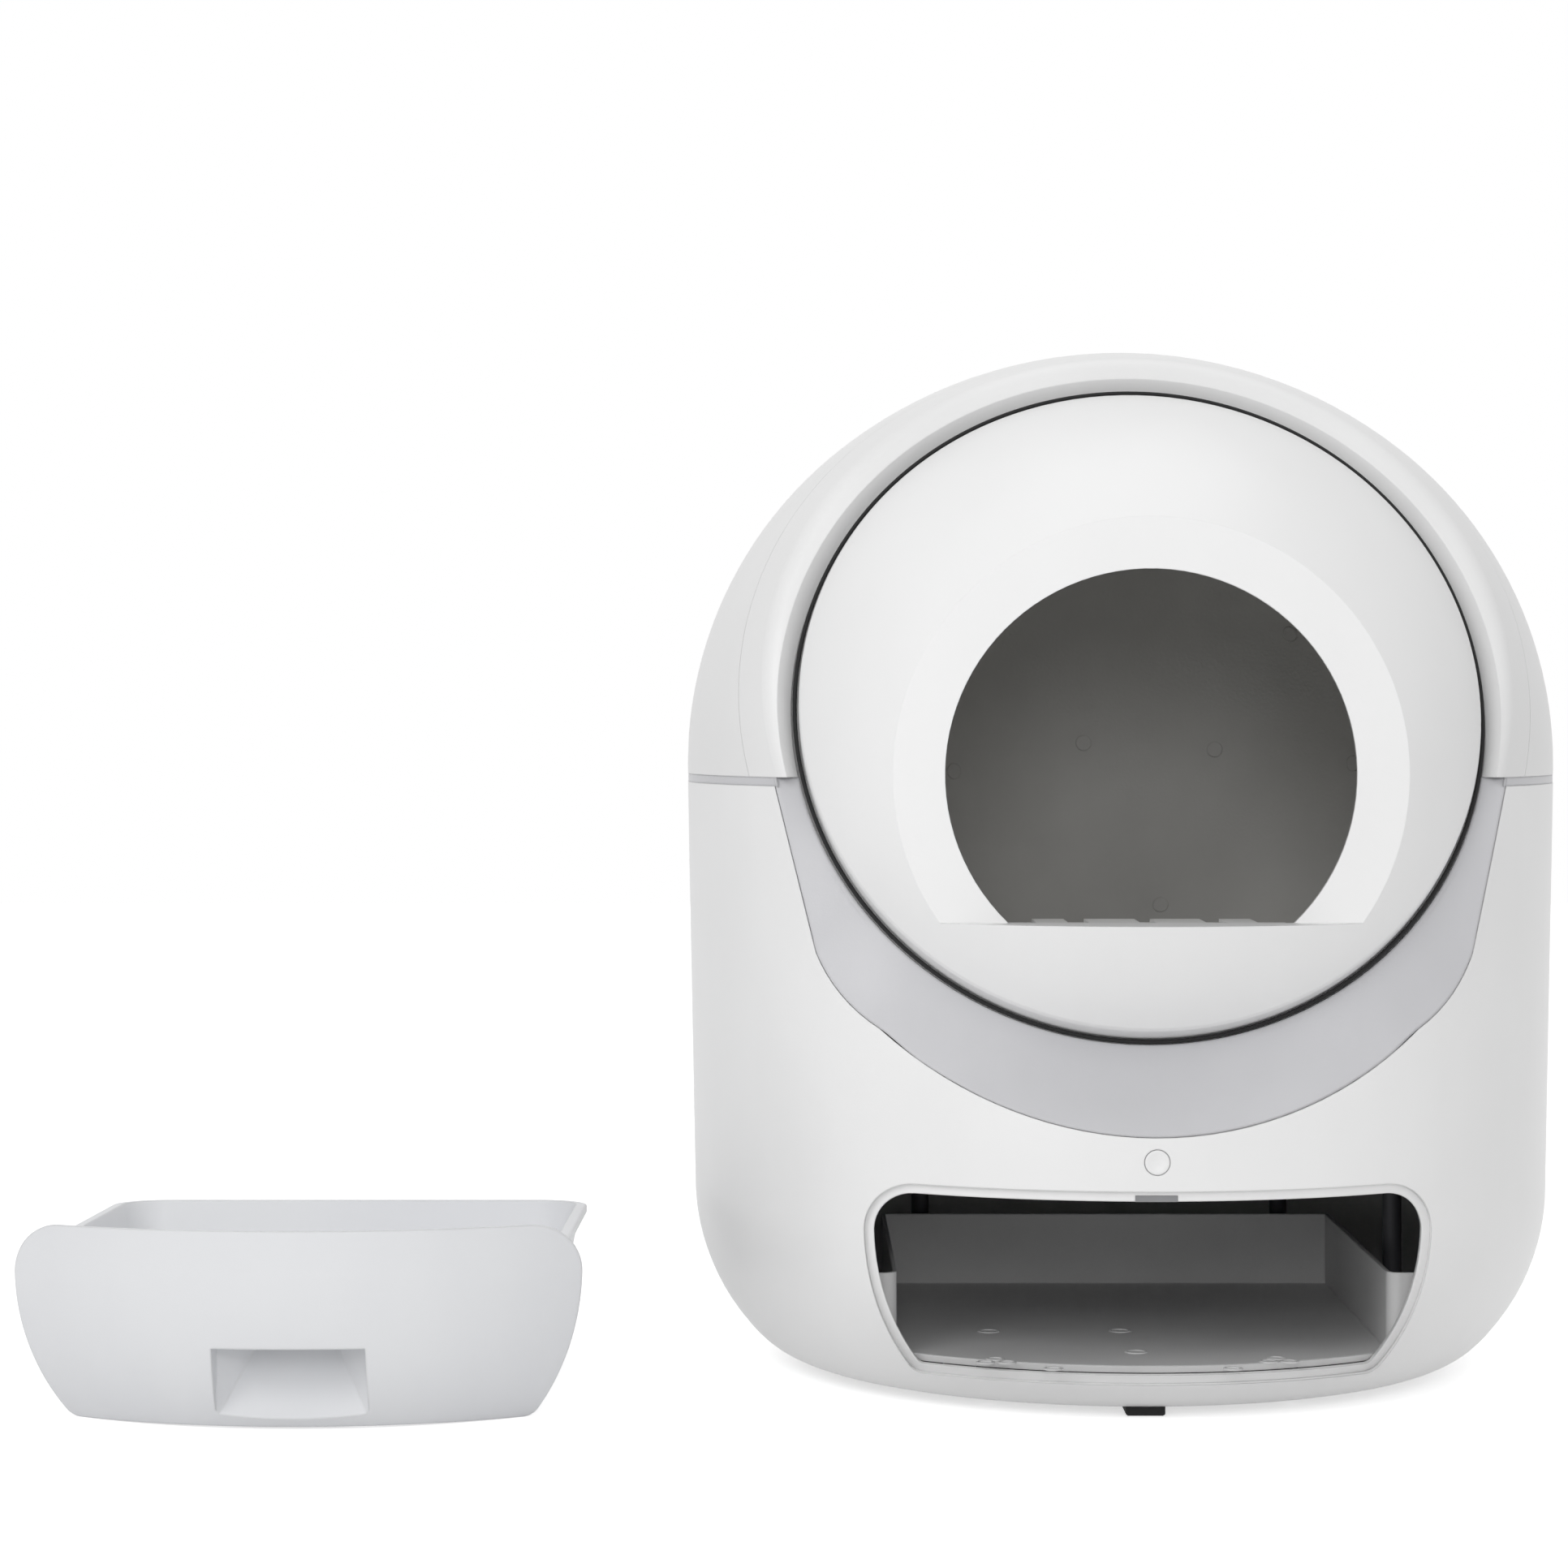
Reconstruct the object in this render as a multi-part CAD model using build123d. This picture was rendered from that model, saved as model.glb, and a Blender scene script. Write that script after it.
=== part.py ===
import os
from math import asin, atan, atan2, cos, degrees, pi, radians, sin, sqrt, tan

from build123d import *

os.makedirs("parts", exist_ok=True)

# Body of the machine, round in plan, seen from the sole of its front foot
body_radius = 283.5
foot_setback = 90.0
shoulder_radius = 278.6
shoulder_z = 121.0
base_curve_width = 83.0
base_curve_height = 116.0
seam_low_z = 382.5
seam_high_z = 388.0
hood_spring_z = 395.0
hood_rise = 269.6
crown_angle = 2.0
hood_skirt = 48.0
wall = 3.0
joint_gap = 0.3
front_y = -foot_setback
axis_y = front_y + body_radius
base_bottom_z = shoulder_z - base_curve_height
long_reach = 2 * body_radius
base_low_radius = 60.0
hood_low_radius = 262.0
low_drop = base_curve_height - base_low_radius
base_square = base_curve_width**2 + low_drop**2 - base_low_radius**2
base_high_radius = base_square / (2 * (base_curve_width - base_low_radius))
hood_side_run = body_radius - hood_low_radius
hood_square = hood_side_run**2 + hood_rise**2 - hood_low_radius**2
hood_high_radius = hood_square / (2 * (hood_rise - hood_low_radius))

# Turning drum, tilted back about its own axis
drum_tilt = 21.3
ring_depth = 131.0
ring_z = 428.7
ring_radius = 211.0
lip_radius = 215.5
globe_radius = 228.0
pole_flat = 0.2
dome_radius = 242.0
dome_back = 103.6
rim_rounding = 8.0
drum_split = 12.0
collar_width = 6.0
ring_y = front_y + ring_depth
tilt_cos = cos(radians(drum_tilt))
tilt_sin = sin(radians(drum_tilt))
globe_back = sqrt(globe_radius**2 - ring_radius**2)

# Entry of the drum
entry_radius = 123.5
entry_z = 391.0
entry_face_depth = 41.6
sill_z = 302.0
entry_face_y = front_y + entry_face_depth

# Rear drive of the drum
boss_radius = 84.0
boss_wall = 6.0
boss_start = 280.0
gear_start = 320.0
gear_thickness = 12.0
gear_module = 3.0
ring_teeth = 60
pinion_teeth = 12
gear_bore = 41.0
gear_pressure = 22.5
gear_root_share = 1.25
gear_tip_share = 0.95
backlash_share = 1 / 12
flank_shares = (0.0, 0.5, 1.0)
gear_screw_ring = 66.0
spindle_radius = 12.0
spindle_flange = 40.0
running_gap = 0.05
frame_start = 338.0
frame_thickness = 14.0
ring_pitch = gear_module * ring_teeth / 2
pinion_pitch = gear_module * pinion_teeth / 2
mesh_clearance = 0.4
centre_distance = ring_pitch + pinion_pitch + mesh_clearance

# Bay for the waste drawer
bay_half_width = 171.5
bay_low_half = 140.0
bay_mid_half = 163.0
bay_low_z = 25.0
bay_mid_z = 68.0
bay_top_z = 145.5
bay_corner = 30.0
bay_low_corner = 12.0
bay_lip = 6.0
panel_thickness = 4.0
bay_collar = 4.0
liner_half = 150.6
liner_wall = 2.4
liner_floor_z = 36.5
liner_floor = 5.0
liner_top_z = 84.0
liner_corner = 8.0
liner_back_depth = 372.0
flange_depth = 100.0
flange_half = 176.0

# Deck between drum and bay
deck_z = 150.0
deck_thickness = 3.0
deck_radius = 276.0
port_half = 62.0
port_near = 98.0
port_far = 172.0
chute_drop = 9.0
post_radius = 6.0
post_half_front = 174.0
post_depth_front = 230.0
post_half_rear = 125.0
post_depth_rear = 424.0

# Floor pan and feet
pan_radius = 194.0
ledge_radius = 182.0
foot_width = 24.0
rear_foot_half = 120.0
rear_foot_depth = 395.0
cell_length = 60.0
cell_width = 12.0


def box_between(x_low, x_high, y_low, y_high, z_low, z_high):
    middle = Pos((x_low + x_high) / 2, (y_low + y_high) / 2, (z_low + z_high) / 2)
    return middle * Box(x_high - x_low, y_high - y_low, z_high - z_low)


def depth_y(depth):
    return front_y + depth


def pillar(radius, x, depth, z_low, z_high):
    middle = Pos(x, depth_y(depth), (z_low + z_high) / 2)
    return middle * Cylinder(radius, z_high - z_low)


def across(radius, x_low, x_high, y, z):
    return Pos((x_low + x_high) / 2, y, z) * Rot(Y=90) * Cylinder(radius, x_high - x_low)


def along(radius, y_low, y_high, x, z):
    return Pos(x, (y_low + y_high) / 2, z) * Rot(X=90) * Cylinder(radius, y_high - y_low)


def turned(outline):
    face = make_face(outline)
    return Pos(0, axis_y, 0) * revolve(Plane.XZ * face, axis=Axis.Z)


def two_arcs(small_centre, small_radius, large_centre, large_radius, inset):
    run = small_centre[0] - large_centre[0]
    rise = small_centre[1] - large_centre[1]
    meet = degrees(atan2(rise, run))
    if rise > 0:
        low_arc = CenterArc(small_centre, small_radius - inset, 0, meet)
        high_arc = CenterArc(large_centre, large_radius - inset, meet, 90 - crown_angle - meet)
    else:
        low_arc = CenterArc(small_centre, small_radius - inset, -90, 90 + meet)
        high_arc = CenterArc(large_centre, large_radius - inset, meet, -meet)
    return low_arc + high_arc


def base_form(inset):
    bottom = base_bottom_z + inset
    low_centre = (shoulder_radius - base_curve_width, base_bottom_z + base_low_radius)
    high_centre = (shoulder_radius - base_high_radius, shoulder_z)
    curve = two_arcs(low_centre, base_low_radius, high_centre, base_high_radius, inset)
    shoulder = (shoulder_radius - inset, shoulder_z)
    rim = (body_radius - inset, seam_low_z)
    side = Polyline(shoulder, rim, (0, seam_low_z), (0, bottom), (low_centre[0], bottom))
    return turned(curve + side)


def hood_form(inset):
    low_centre = (body_radius - hood_low_radius, hood_spring_z)
    high_centre = (0, hood_spring_z + hood_rise - hood_high_radius)
    curve = two_arcs(low_centre, hood_low_radius, high_centre, hood_high_radius, inset)
    crown = hood_high_radius - inset
    crown_x = crown * sin(radians(crown_angle))
    crown_z = high_centre[1] + crown * cos(radians(crown_angle))
    edge = body_radius - inset
    low_z = seam_high_z - hood_skirt
    side = Polyline((crown_x, crown_z), (0, crown_z), (0, low_z), (edge, low_z), (edge, hood_spring_z))
    return turned(curve + side)


def prism(face, y_low, y_high):
    return Pos(0, y_high, 0) * extrude(Plane.XZ * face, y_high - y_low)


def mirrored(points):
    return [(-x, z) for x, z in reversed(points)]


drum_plane = Plane(origin=(0, ring_y, ring_z), x_dir=(1, 0, 0), z_dir=(0, -tilt_cos, tilt_sin))
drum_place = Location(drum_plane)


def drum_rod(radius, back_near, back_far, x=0, y=0):
    middle = Pos(x, y, -(back_near + back_far) / 2)
    return drum_place * middle * Cylinder(radius, back_far - back_near)


def drum_box(x_low, x_high, y_low, y_high, back_near, back_far):
    return drum_place * box_between(x_low, x_high, y_low, y_high, -back_far, -back_near)


def globe(radius):
    ball = Sphere(radius) & Cylinder(radius + wall, 2 * (radius - pole_flat))
    return drum_place * Pos(0, 0, -globe_back) * ball


# Bay outline, its lip and its collar
bay_shoulder = (bay_half_width, bay_top_z - bay_corner)
bay_side = [(bay_low_half, bay_low_z), (bay_mid_half, bay_mid_z), bay_shoulder]


def bay_face():
    near_top = bay_top_z - bay_corner
    corner_x = bay_half_width - bay_corner
    bend = bay_corner * sin(radians(45))
    corner = [bay_shoulder, (corner_x + bend, near_top + bend), (corner_x, bay_top_z)]
    right = ThreePointArc(*bay_side) + ThreePointArc(*corner)
    top = Line((corner_x, bay_top_z), (-corner_x, bay_top_z))
    left = ThreePointArc(*mirrored(corner)) + ThreePointArc(*mirrored(bay_side))
    bottom = Line((-bay_low_half, bay_low_z), (bay_low_half, bay_low_z))
    face = make_face(right + top + left + bottom)
    low = face.vertices().group_by(Axis.Y)[0]
    return fillet(low, bay_low_corner)


bay_outline = bay_face()
bay_inner = offset(bay_outline, amount=-bay_lip)
bay_outer = offset(bay_outline, amount=bay_collar)
panel_outline = offset(bay_outline, amount=-joint_gap)
bay_front_y = front_y - wall
bay_reach_y = axis_y

# Crescent outline where the grey deck meets the white base
crescent_low = (0.0, 177.7)
crescent_turn = (162.4, 238.0)
crescent_bend = (184.3, 256.0)
crescent_side = (200.2, 281.6)
crescent_top = (226.7, 388.0)
crescent_counts = (12, 10, 16, 10, 12)
ring_steps = 24


def crescent_edges():
    low = ThreePointArc((-crescent_turn[0], crescent_turn[1]), crescent_low, crescent_turn)
    bend = ThreePointArc(crescent_turn, crescent_bend, crescent_side)
    side = Line(crescent_side, crescent_top)
    left_side = Line(*mirrored([crescent_side, crescent_top]))
    left_bend = ThreePointArc(*mirrored([crescent_turn, crescent_bend, crescent_side]))
    return [left_side, left_bend, low, bend, side]


def crescent_line(grow):
    high = (crescent_top[0], hood_spring_z)
    tops = Polyline(crescent_top, high, (-high[0], high[1]), (-crescent_top[0], crescent_top[1]))
    edges = crescent_edges()
    face = make_face(edges[0] + edges[1] + edges[2] + edges[3] + edges[4] + tops)
    if grow:
        face = offset(face, amount=grow)
    return face


def crescent_points():
    points = []
    for edge, count in zip(crescent_edges(), crescent_counts):
        points += [edge.position_at(step / count) for step in range(count)]
    points.append(crescent_edges()[-1].position_at(1))
    return [(point.X, point.Y) for point in points]


def base_depth_at(x, z):
    slope = (body_radius - shoulder_radius) / (seam_low_z - shoulder_z)
    radius = shoulder_radius + slope * (z - shoulder_z)
    return axis_y - sqrt(radius**2 - x**2)


def ring_point(x, y):
    return (x, ring_y + y * tilt_sin, ring_z + y * tilt_cos)


seam_drop = (ring_z - seam_high_z) / tilt_cos
crescent_thickness = 4.2


def crescent_form():
    outer = [(x, base_depth_at(x, z), z) for x, z in crescent_points()]
    start = asin(seam_drop / lip_radius)
    sweep_angle = pi - 2 * start
    angles = [pi + start + sweep_angle * step / ring_steps for step in range(ring_steps + 1)]
    inner = [ring_point(lip_radius * cos(angle), lip_radius * sin(angle)) for angle in angles]
    face = Face.make_surface_from_curves(Spline(outer).edge(), Spline(inner).edge())
    return extrude(face, crescent_thickness, dir=(0, 1, 0))


# Front of the hood, cut square to the drum's axis
lip_rise = 10.7
lip_front_radius = 224.5
hood_rounding = 14.0
parting_back = 19.0
lip_slope = (lip_front_radius - lip_radius) / lip_rise


def lip_form(grow, behind):
    low = lip_radius + grow - lip_slope * behind
    high = lip_front_radius + grow + lip_slope * wall
    height = lip_rise + wall + behind
    return drum_place * Pos(0, 0, height / 2 - behind) * Cone(low, high, height)


def rounded_hood(inset):
    rise = lip_rise - inset
    solid = hood_form(inset) - drum_rod(long_reach, -2 * long_reach, -rise)
    flat = solid.faces().filter_by(GeomType.PLANE).sort_by(lambda face: face.normal_at().Y)[0]
    edges = [edge for edge in flat.edges() if edge.geom_type != GeomType.LINE]
    below = box_between(-long_reach, long_reach, front_y - wall, axis_y + long_reach, 0, seam_high_z)
    return fillet(edges, hood_rounding - inset) - below


# Side latches of the hood
latch_z = 426.0
latch_radius = 15.2
latch_depth = 6.0
latch_stem = 5.0
latch_stem_reach = 22.0
latch_guide = 14.0
latch_guide_thickness = 3.0
latch_travel = 4.0
spring_wire = 1.0
spring_coil = 8.0
spring_turns = 4
stem_clearance = 0.2

# Push button and sensors of the front
button_z = 163.0
button_radius = 7.4
button_flange = 9.4
button_rim = 2.0
button_dish = 24.0
button_dish_depth = 0.7
switch_width = 14.0
switch_gap = 2.0
plunger_radius = 2.4
plunger_gap = 1.5
sensor_half = 12.6
sensor_height = 3.6

# Rollers under the drum
track_radius = 224.5
track_near = 26.0
track_far = 42.0
track_depth = 10.0
roller_radius = 12.0
roller_width = 10.0
roller_angle = 36.0
roller_pin = 3.0
roller_bore = 3.1
bracket_width = 16.0
bracket_wall = 4.0
bracket_side_gap = 0.6

# Linings and screen of the drum
lining_gap = 0.3
lining = 2.0
waste_half = 54.0
waste_near = 52.0
waste_far = 122.0
waste_low = 150.0
screen_height = 154.0
screen_thickness = 3.0
screen_near = 16.0
screen_far = 118.0
slot_pitch = 15.0
slot_width = 9.0
slot_count = 17
slot_rows = 2
slot_margin = 8.0
slot_rib = 8.0
sill_plate_half = 88.0
sill_plate_near = 34.0
sill_plate_far = 104.0
pad_near = 48.0
pad_far = 100.0
pad_thickness = 2.4
pad_spans = [(-68.0, -48.5), (-36.0, -5.0), (4.5, 35.0), (47.0, 66.0)]
stud_radius = 5.5
stud_height = 1.2
stud_places = [(-10.0, 89.0), (80.5, 79.6), (41.2, -26.2), (127.1, 137.5), (-102.2, 61.9), (168.1, 49.0)]

# Drive motor and electronics
gearbox_half = 35.0
gearbox_up = 33.0
gearbox_down = 35.0
gearbox_length = 25.0
motor_radius = 18.0
motor_length = 46.0
shaft_radius = 4.0
shaft_tail = 12.0
motor_nub = 6.0
pinion_start = 319.0
pinion_length = 15.0
board_left = 70.0
board_right = 160.0
board_near = 380.0
board_far = 448.0
board_rise = 10.0
board_thickness = 1.6
board_chips = [(100.0, 400.0, 10.0, 10.0, 3.0), (140.0, 433.0, 10.0, 5.0, 9.0)]
standoff_radius = 3.5
standoff_inset = 6.0
socket_z = 106.0
socket_radius = 5.5
socket_half = 8.0
socket_length = 12.0

# Drawer for the waste, standing beside the machine
drawer_shift_x = -513.0
drawer_face_depth = -9.0
basin_low_half = 138.0
basin_low_z = 37.0
basin_high_z = 130.0
basin_lean = 11.0
basin_front_depth = 66.0
basin_back_depth = 366.0
basin_wall = 2.6
basin_rim = 4.0
basin_rim_height = 5.0
basin_corner = 12.0
basin_low_rounding = 9.0
rim_rounding_edge = 1.8
pocket_half = 45.5
pocket_high_z = 75.0
pocket_low_z = 31.0
pocket_mouth_depth = 38.6
pocket_deep = 62.0
pocket_narrowing = 22.0
pocket_wall = 2.4
rib_half = 88.0
rib_thickness = 6.0
rib_low_z = 44.0
rib_high_z = 112.0


def save(name, shape):
    export_step(shape, f"parts/{name}.step")


def group(shapes):
    return Compound(children=list(shapes))


# Outer shell of the base
base_outer = base_form(0)
base_inner = base_form(wall)
collar_form = base_form(panel_thickness + bay_collar)
collar = (base_outer - collar_form) & prism(bay_outer, bay_front_y, bay_reach_y)
housing = (base_outer - base_inner) + collar
housing -= (base_outer - base_form(panel_thickness)) & prism(bay_outline, bay_front_y, bay_reach_y)
housing -= prism(bay_inner, bay_front_y, bay_reach_y)
housing -= prism(crescent_line(joint_gap), bay_front_y, bay_reach_y)
housing -= Pos(0, axis_y, base_bottom_z) * Cylinder(ledge_radius, 4 * wall)
button_front = front_y - wall
button_seat = base_depth_at(0, button_z) + wall + 2 * joint_gap
button_back = button_seat + button_rim
housing -= along(button_radius + joint_gap, button_front, button_back, 0, button_z)
sensor_low_z = bay_top_z - bay_lip
notch_low_z = sensor_low_z - joint_gap
notch_y = front_y + panel_thickness + bay_collar + wall
notch_high_z = sensor_low_z + sensor_height
notch = box_between(-sensor_half, sensor_half, front_y - wall, notch_y, notch_low_z, notch_high_z)
sensor = notch & (base_form(panel_thickness + joint_gap) - collar_form)
housing -= notch & base_form(panel_thickness)
back_y = axis_y + shoulder_radius
socket_hole_y = back_y - socket_length
housing -= along(socket_radius + joint_gap, socket_hole_y, back_y + socket_length, 0, socket_z)

# Floor pan, its screws and the feet
pan_z = base_bottom_z + wall
pan_top = pan_z + wall
screw_ring = (pan_radius + ledge_radius) / 2
screw_head = 3.6
screw_shank = 1.5
screw_boss = 4.5
screw_length = 14.0
screw_count = 6
pan = Pos(0, axis_y, pan_z + wall / 2) * Cylinder(pan_radius, wall)
screw_places = []
for step in range(screw_count):
    angle = 2 * pi * step / screw_count
    screw_places.append((screw_ring * cos(angle), body_radius + screw_ring * sin(angle)))
screws = []
for x, depth in screw_places:
    pan += pillar(screw_boss, x, depth, pan_z, pan_z + screw_length)
    pan -= pillar(screw_shank, x, depth, pan_z, pan_z + screw_length)
    housing -= pillar(screw_shank + joint_gap, x, depth, base_bottom_z - wall, pan_z)
    head_z = base_bottom_z - wall / 2
    head = pillar(screw_head, x, depth, head_z, base_bottom_z)
    screws.append(head + pillar(screw_shank, x, depth, head_z, pan_z + screw_length))

foot_half = foot_width / 2
foot_bevel = 1.2


def foot_at(x, depth):
    y = depth_y(depth)
    block = box_between(x - foot_half, x + foot_half, y - foot_half, y + foot_half, 0, pan_z)
    return chamfer(block.faces().sort_by(Axis.Z)[0].edges(), foot_bevel)


front_foot = foot_at(0, foot_setback)
foot_room = foot_width + 2 * joint_gap
housing -= Pos(0, 0, base_bottom_z) * Box(foot_room, foot_room, pan_z)
rear_feet = [foot_at(-rear_foot_half, rear_foot_depth), foot_at(rear_foot_half, rear_foot_depth)]
cells = []
for x, depth in [(0, foot_setback), (-rear_foot_half, rear_foot_depth), (rear_foot_half, rear_foot_depth)]:
    bar_z = pan_top + cell_width / 2
    cells.append(Pos(x, depth_y(depth), bar_z) * Box(cell_length, cell_width, cell_width))

# Bay liner the drawer slides on
liner_low = liner_floor_z - liner_floor
liner_out = liner_half + liner_wall
liner_back_y = depth_y(liner_back_depth)
liner_end_y = liner_back_y + liner_wall
liner_room_z = liner_top_z + wall
flange_y = depth_y(flange_depth)
flange_end_y = flange_y + liner_wall
liner = box_between(-flange_half, flange_half, flange_y, liner_end_y, liner_low, liner_top_z)
liner -= box_between(-liner_half, liner_half, flange_y - wall, liner_back_y, liner_floor_z, liner_room_z)
liner_posts = liner.edges().filter_by(Axis.Z).sort_by(lambda edge: edge.center().Y)[:4]
inner_posts = liner_posts.sort_by(lambda edge: abs(edge.center().X))[:2]
liner = fillet(inner_posts, liner_corner)
outside = box_between(liner_out, long_reach, flange_end_y, long_reach, liner_low - wall, liner_room_z)
outside_edges = outside.edges().filter_by(Axis.Z)
outside_post = min(outside_edges, key=lambda edge: edge.center().X + edge.center().Y)
outside = fillet(outside_post, liner_corner - liner_wall)
liner -= outside
liner -= mirror(outside, about=Plane.YZ)
liner += box_between(-flange_half, flange_half, front_y, flange_y, liner_low, liner_floor_z)
liner = liner & base_form(panel_thickness + bay_collar + joint_gap)
leg_size = 20.0
leg_x = 110.0
leg_near = 150.0
leg_far = 350.0
leg_height = liner_low - pan_top
for x in (-leg_x, leg_x):
    for depth in (leg_near, leg_far):
        leg_place = Pos(x, depth_y(depth), pan_top + leg_height / 2)
        liner += leg_place * Box(leg_size, leg_size, leg_height)

# Deck with the waste port, its posts and the board standoffs
deck_top = deck_z + deck_thickness
deck = Pos(0, axis_y, deck_z + deck_thickness / 2) * Cylinder(deck_radius, deck_thickness)
port_low = deck_z - chute_drop
port_high = deck_top + chute_drop
port_near_y = depth_y(port_near)
port_far_y = depth_y(port_far)
chute_half = port_half + wall
chute_near_y = port_near_y - wall
chute_far_y = port_far_y + wall
deck += box_between(-chute_half, chute_half, chute_near_y, chute_far_y, port_low, port_high)
deck -= box_between(-port_half, port_half, port_near_y, port_far_y, port_low - wall, port_high + wall)
for x in (board_left + standoff_inset, board_right - standoff_inset):
    for depth in (board_near + standoff_inset, board_far - standoff_inset):
        deck += pillar(standoff_radius, x, depth, deck_z, deck_top + board_rise)
posts = []
for half, depth in [(post_half_front, post_depth_front), (post_half_rear, post_depth_rear)]:
    posts.append(pillar(post_radius, -half, depth, pan_top, deck_z))
    posts.append(pillar(post_radius, half, depth, pan_top, deck_z))

# Grey cradle with its crescent and the band between base and hood
band_radius = body_radius - joint_gap
band_inner = 270.0
band_overlap = 2.0
band_clip = prism(crescent_line(-band_overlap), bay_front_y, bay_reach_y)
band_height = seam_high_z - seam_low_z
band_ring = Cylinder(band_radius, band_height) - Cylinder(band_inner, seam_high_z)
band = Pos(0, axis_y, seam_low_z + band_height / 2) * band_ring
cradle = (band - band_clip) + crescent_form()
collar_back = 9.0
rim_wall = 3.0
rim_step = 0.6
rim_bore = drum_rod(lip_radius + rim_step, -wall, collar_back + wall)
rim_ring = drum_rod(lip_radius + rim_wall, rim_step, collar_back) - rim_bore
below_seam = box_between(-long_reach, long_reach, bay_front_y, axis_y, deck_top, seam_high_z)
cradle += rim_ring & below_seam

# Hood in two shells
hood_outer = rounded_hood(0)
hood_room = hood_form(0)
lip_room = lip_form(0, wall)
hood_shell = (hood_outer - rounded_hood(wall)) - lip_room
rear_side = drum_rod(long_reach, parting_back, 2 * long_reach)
lip = (hood_outer & lip_form(wall, 0)) - lip_room
hood_front = (hood_shell - rear_side) + lip
hood_rear = hood_shell & rear_side
latches = []
latch_springs = []
latch_back = body_radius - latch_depth
guide_far = latch_back - latch_guide
guide_near = guide_far - latch_guide_thickness
stem_near = latch_back - latch_stem_reach
beyond = body_radius + wall
arm_half = latch_radius + latch_stem
for side in (-1, 1):
    latch_turn = Pos(0, axis_y, latch_z) * Rot(Z=90 - 90 * side)
    disc = latch_turn * across(latch_radius, latch_back, beyond, 0, 0) & hood_room
    latches.append(disc + latch_turn * across(latch_stem, stem_near, latch_back, 0, 0))
    hood_rear -= latch_turn * across(latch_radius + joint_gap, latch_back - wall, beyond, 0, 0)
    arm = box_between(guide_near, guide_far, -arm_half, arm_half, -latch_radius, latch_radius)
    arm -= across(latch_stem + stem_clearance, guide_near - wall, guide_far + wall, 0, 0)
    for bound in (-1, 1):
        near = bound * (arm_half - latch_stem / 2)
        far = bound * arm_half
        low_y = min(near, far)
        high_y = max(near, far)
        arm += box_between(guide_near, latch_back + wall, low_y, high_y, -latch_radius, latch_radius)
    hood_rear += latch_turn * arm & hood_room
    coil_length = latch_guide - 2 * spring_wire - joint_gap
    path = Helix(coil_length / spring_turns, coil_length, spring_coil)
    coil = sweep((path ^ 0) * Circle(spring_wire / 2), path=path, is_frenet=True)
    latch_springs.append(latch_turn * Pos(guide_far + spring_wire, 0, 0) * Rot(Y=90) * coil)

# Front push button with its switch and the drawer sensor
button = along(button_radius, button_front, button_back, 0, button_z) & base_outer
dish_y = base_depth_at(0, button_z) + button_dish_depth - button_dish
button -= Pos(0, dish_y, button_z) * Sphere(button_dish)
button += along(button_flange, button_seat, button_back, 0, button_z)
switch_y = button_back + switch_gap
switch_half = switch_width / 2
switch_end = switch_y + switch_half
switch_top = button_z + switch_half
switch = box_between(-switch_half, switch_half, switch_y, switch_end, deck_top, switch_top)
switch += along(plunger_radius, button_back + plunger_gap, switch_y + wall, 0, button_z)

# Drum front with its entry, and the drum rear
drum_height = dome_radius - dome_back


def dome_form(inset):
    rod_length = drum_height + drum_split + 2 * wall
    drum = Pos(0, 0, (drum_height - drum_split) / 2) * Cylinder(ring_radius - inset, rod_length)
    solid = drum & (Pos(0, 0, -dome_back) * Sphere(dome_radius - inset))
    edges = solid.edges().filter_by(GeomType.CIRCLE).sort_by(lambda edge: edge.length)[-2:]
    top = max(edges, key=lambda edge: edge.arc_center.Z)
    return drum_place * fillet(top, rim_rounding - inset)


def entry_cut(inset):
    face_y = entry_face_y + inset
    low_z = sill_z - inset
    return box_between(-long_reach, long_reach, face_y - long_reach, face_y, low_z, sill_z + long_reach)


dome_outer = dome_form(0)
dome_inner = dome_form(wall)
split_cut = drum_rod(long_reach, drum_split, long_reach)
drum_front = (dome_outer - entry_cut(0)) - (dome_inner - entry_cut(wall)) - split_cut
entry_hole = along(entry_radius, entry_face_y - wall, entry_face_y + 3 * wall, 0, entry_z)
below_sill = box_between(-long_reach, long_reach, front_y, axis_y, sill_z - long_reach, sill_z)
drum_front -= entry_hole & entry_cut(2 * wall) - below_sill

front_cut = drum_rod(long_reach, -long_reach, drum_split)
globe_shell = globe(globe_radius) - globe(globe_radius - wall)
boss = drum_rod(boss_radius, boss_start, gear_start)
boss -= drum_rod(boss_radius - boss_wall, boss_start - wall, gear_start - boss_wall)
drum_rear = (globe_shell - front_cut) + (boss - globe(globe_radius - wall / 2))
waste_cut = drum_box(-waste_half, waste_half, waste_low, long_reach, waste_near, waste_far)
drum_rear -= waste_cut
collar = drum_rod(globe_radius - wall / 2, drum_split, drum_split + wall)
drum_rear += collar - drum_rod(ring_radius - collar_width, drum_split - wall, drum_split + 2 * wall)
track = drum_rod(track_radius, track_near, track_far)
track -= globe(globe_radius)
track -= drum_rod(track_radius - track_depth, track_near - wall, track_far + wall)

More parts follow.
